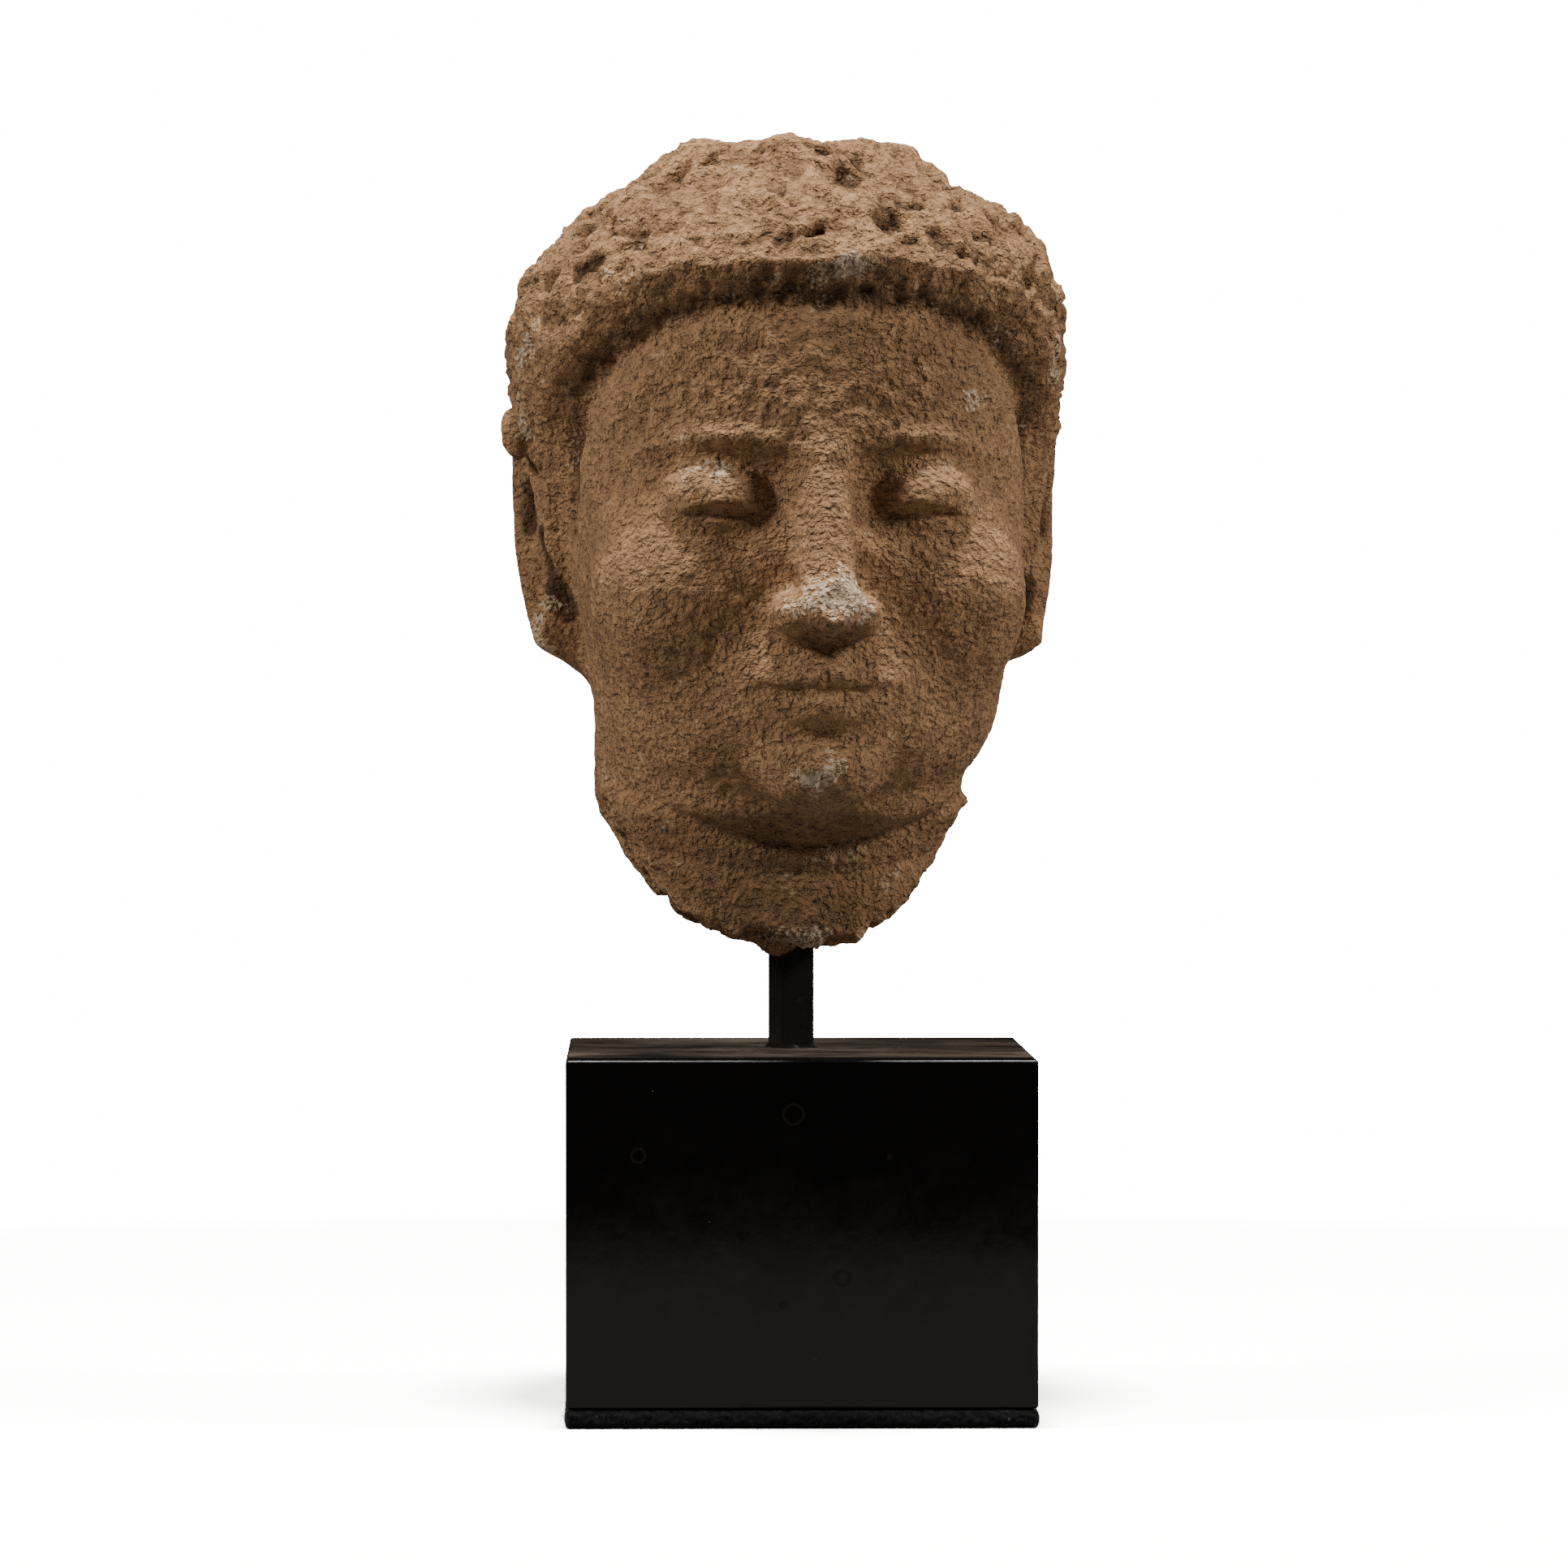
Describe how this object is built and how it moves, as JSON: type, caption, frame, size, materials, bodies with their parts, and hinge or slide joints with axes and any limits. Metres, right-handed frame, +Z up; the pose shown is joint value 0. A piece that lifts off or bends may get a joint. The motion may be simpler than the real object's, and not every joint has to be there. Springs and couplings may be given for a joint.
{
  "type": "terracotta head sculpture on a stand",
  "caption": "Weathered terracotta head with close curled hair and long ears, broken at crown and neck, on a square rod over a glossy black block with a felt pad.",
  "frame": {"origin": "centre of the block's footprint, on the underside of the felt pad, where the stand meets the table", "axes": "+Z up, -Y the front that the face looks towards, +X to the right for someone who faces it. The head is turned 6 degrees from -Y towards +X"},
  "size_m": [0.1242, 0.1413, 0.277],
  "materials": {
    "worn_terracotta": "unglazed, porous and pitted, worn pale on the high spots",
    "black_painted_steel": "black paint, half gloss",
    "black_lacquer": "wood under high-gloss black lacquer, dusty on top",
    "black_felt": "matt black felt"
  },
  "bodies": {
    "root": {"head": "worn_terracotta", "rod": "black_painted_steel", "base_block": "black_lacquer", "felt_pad": "black_felt"}
  },
  "joints": []
}
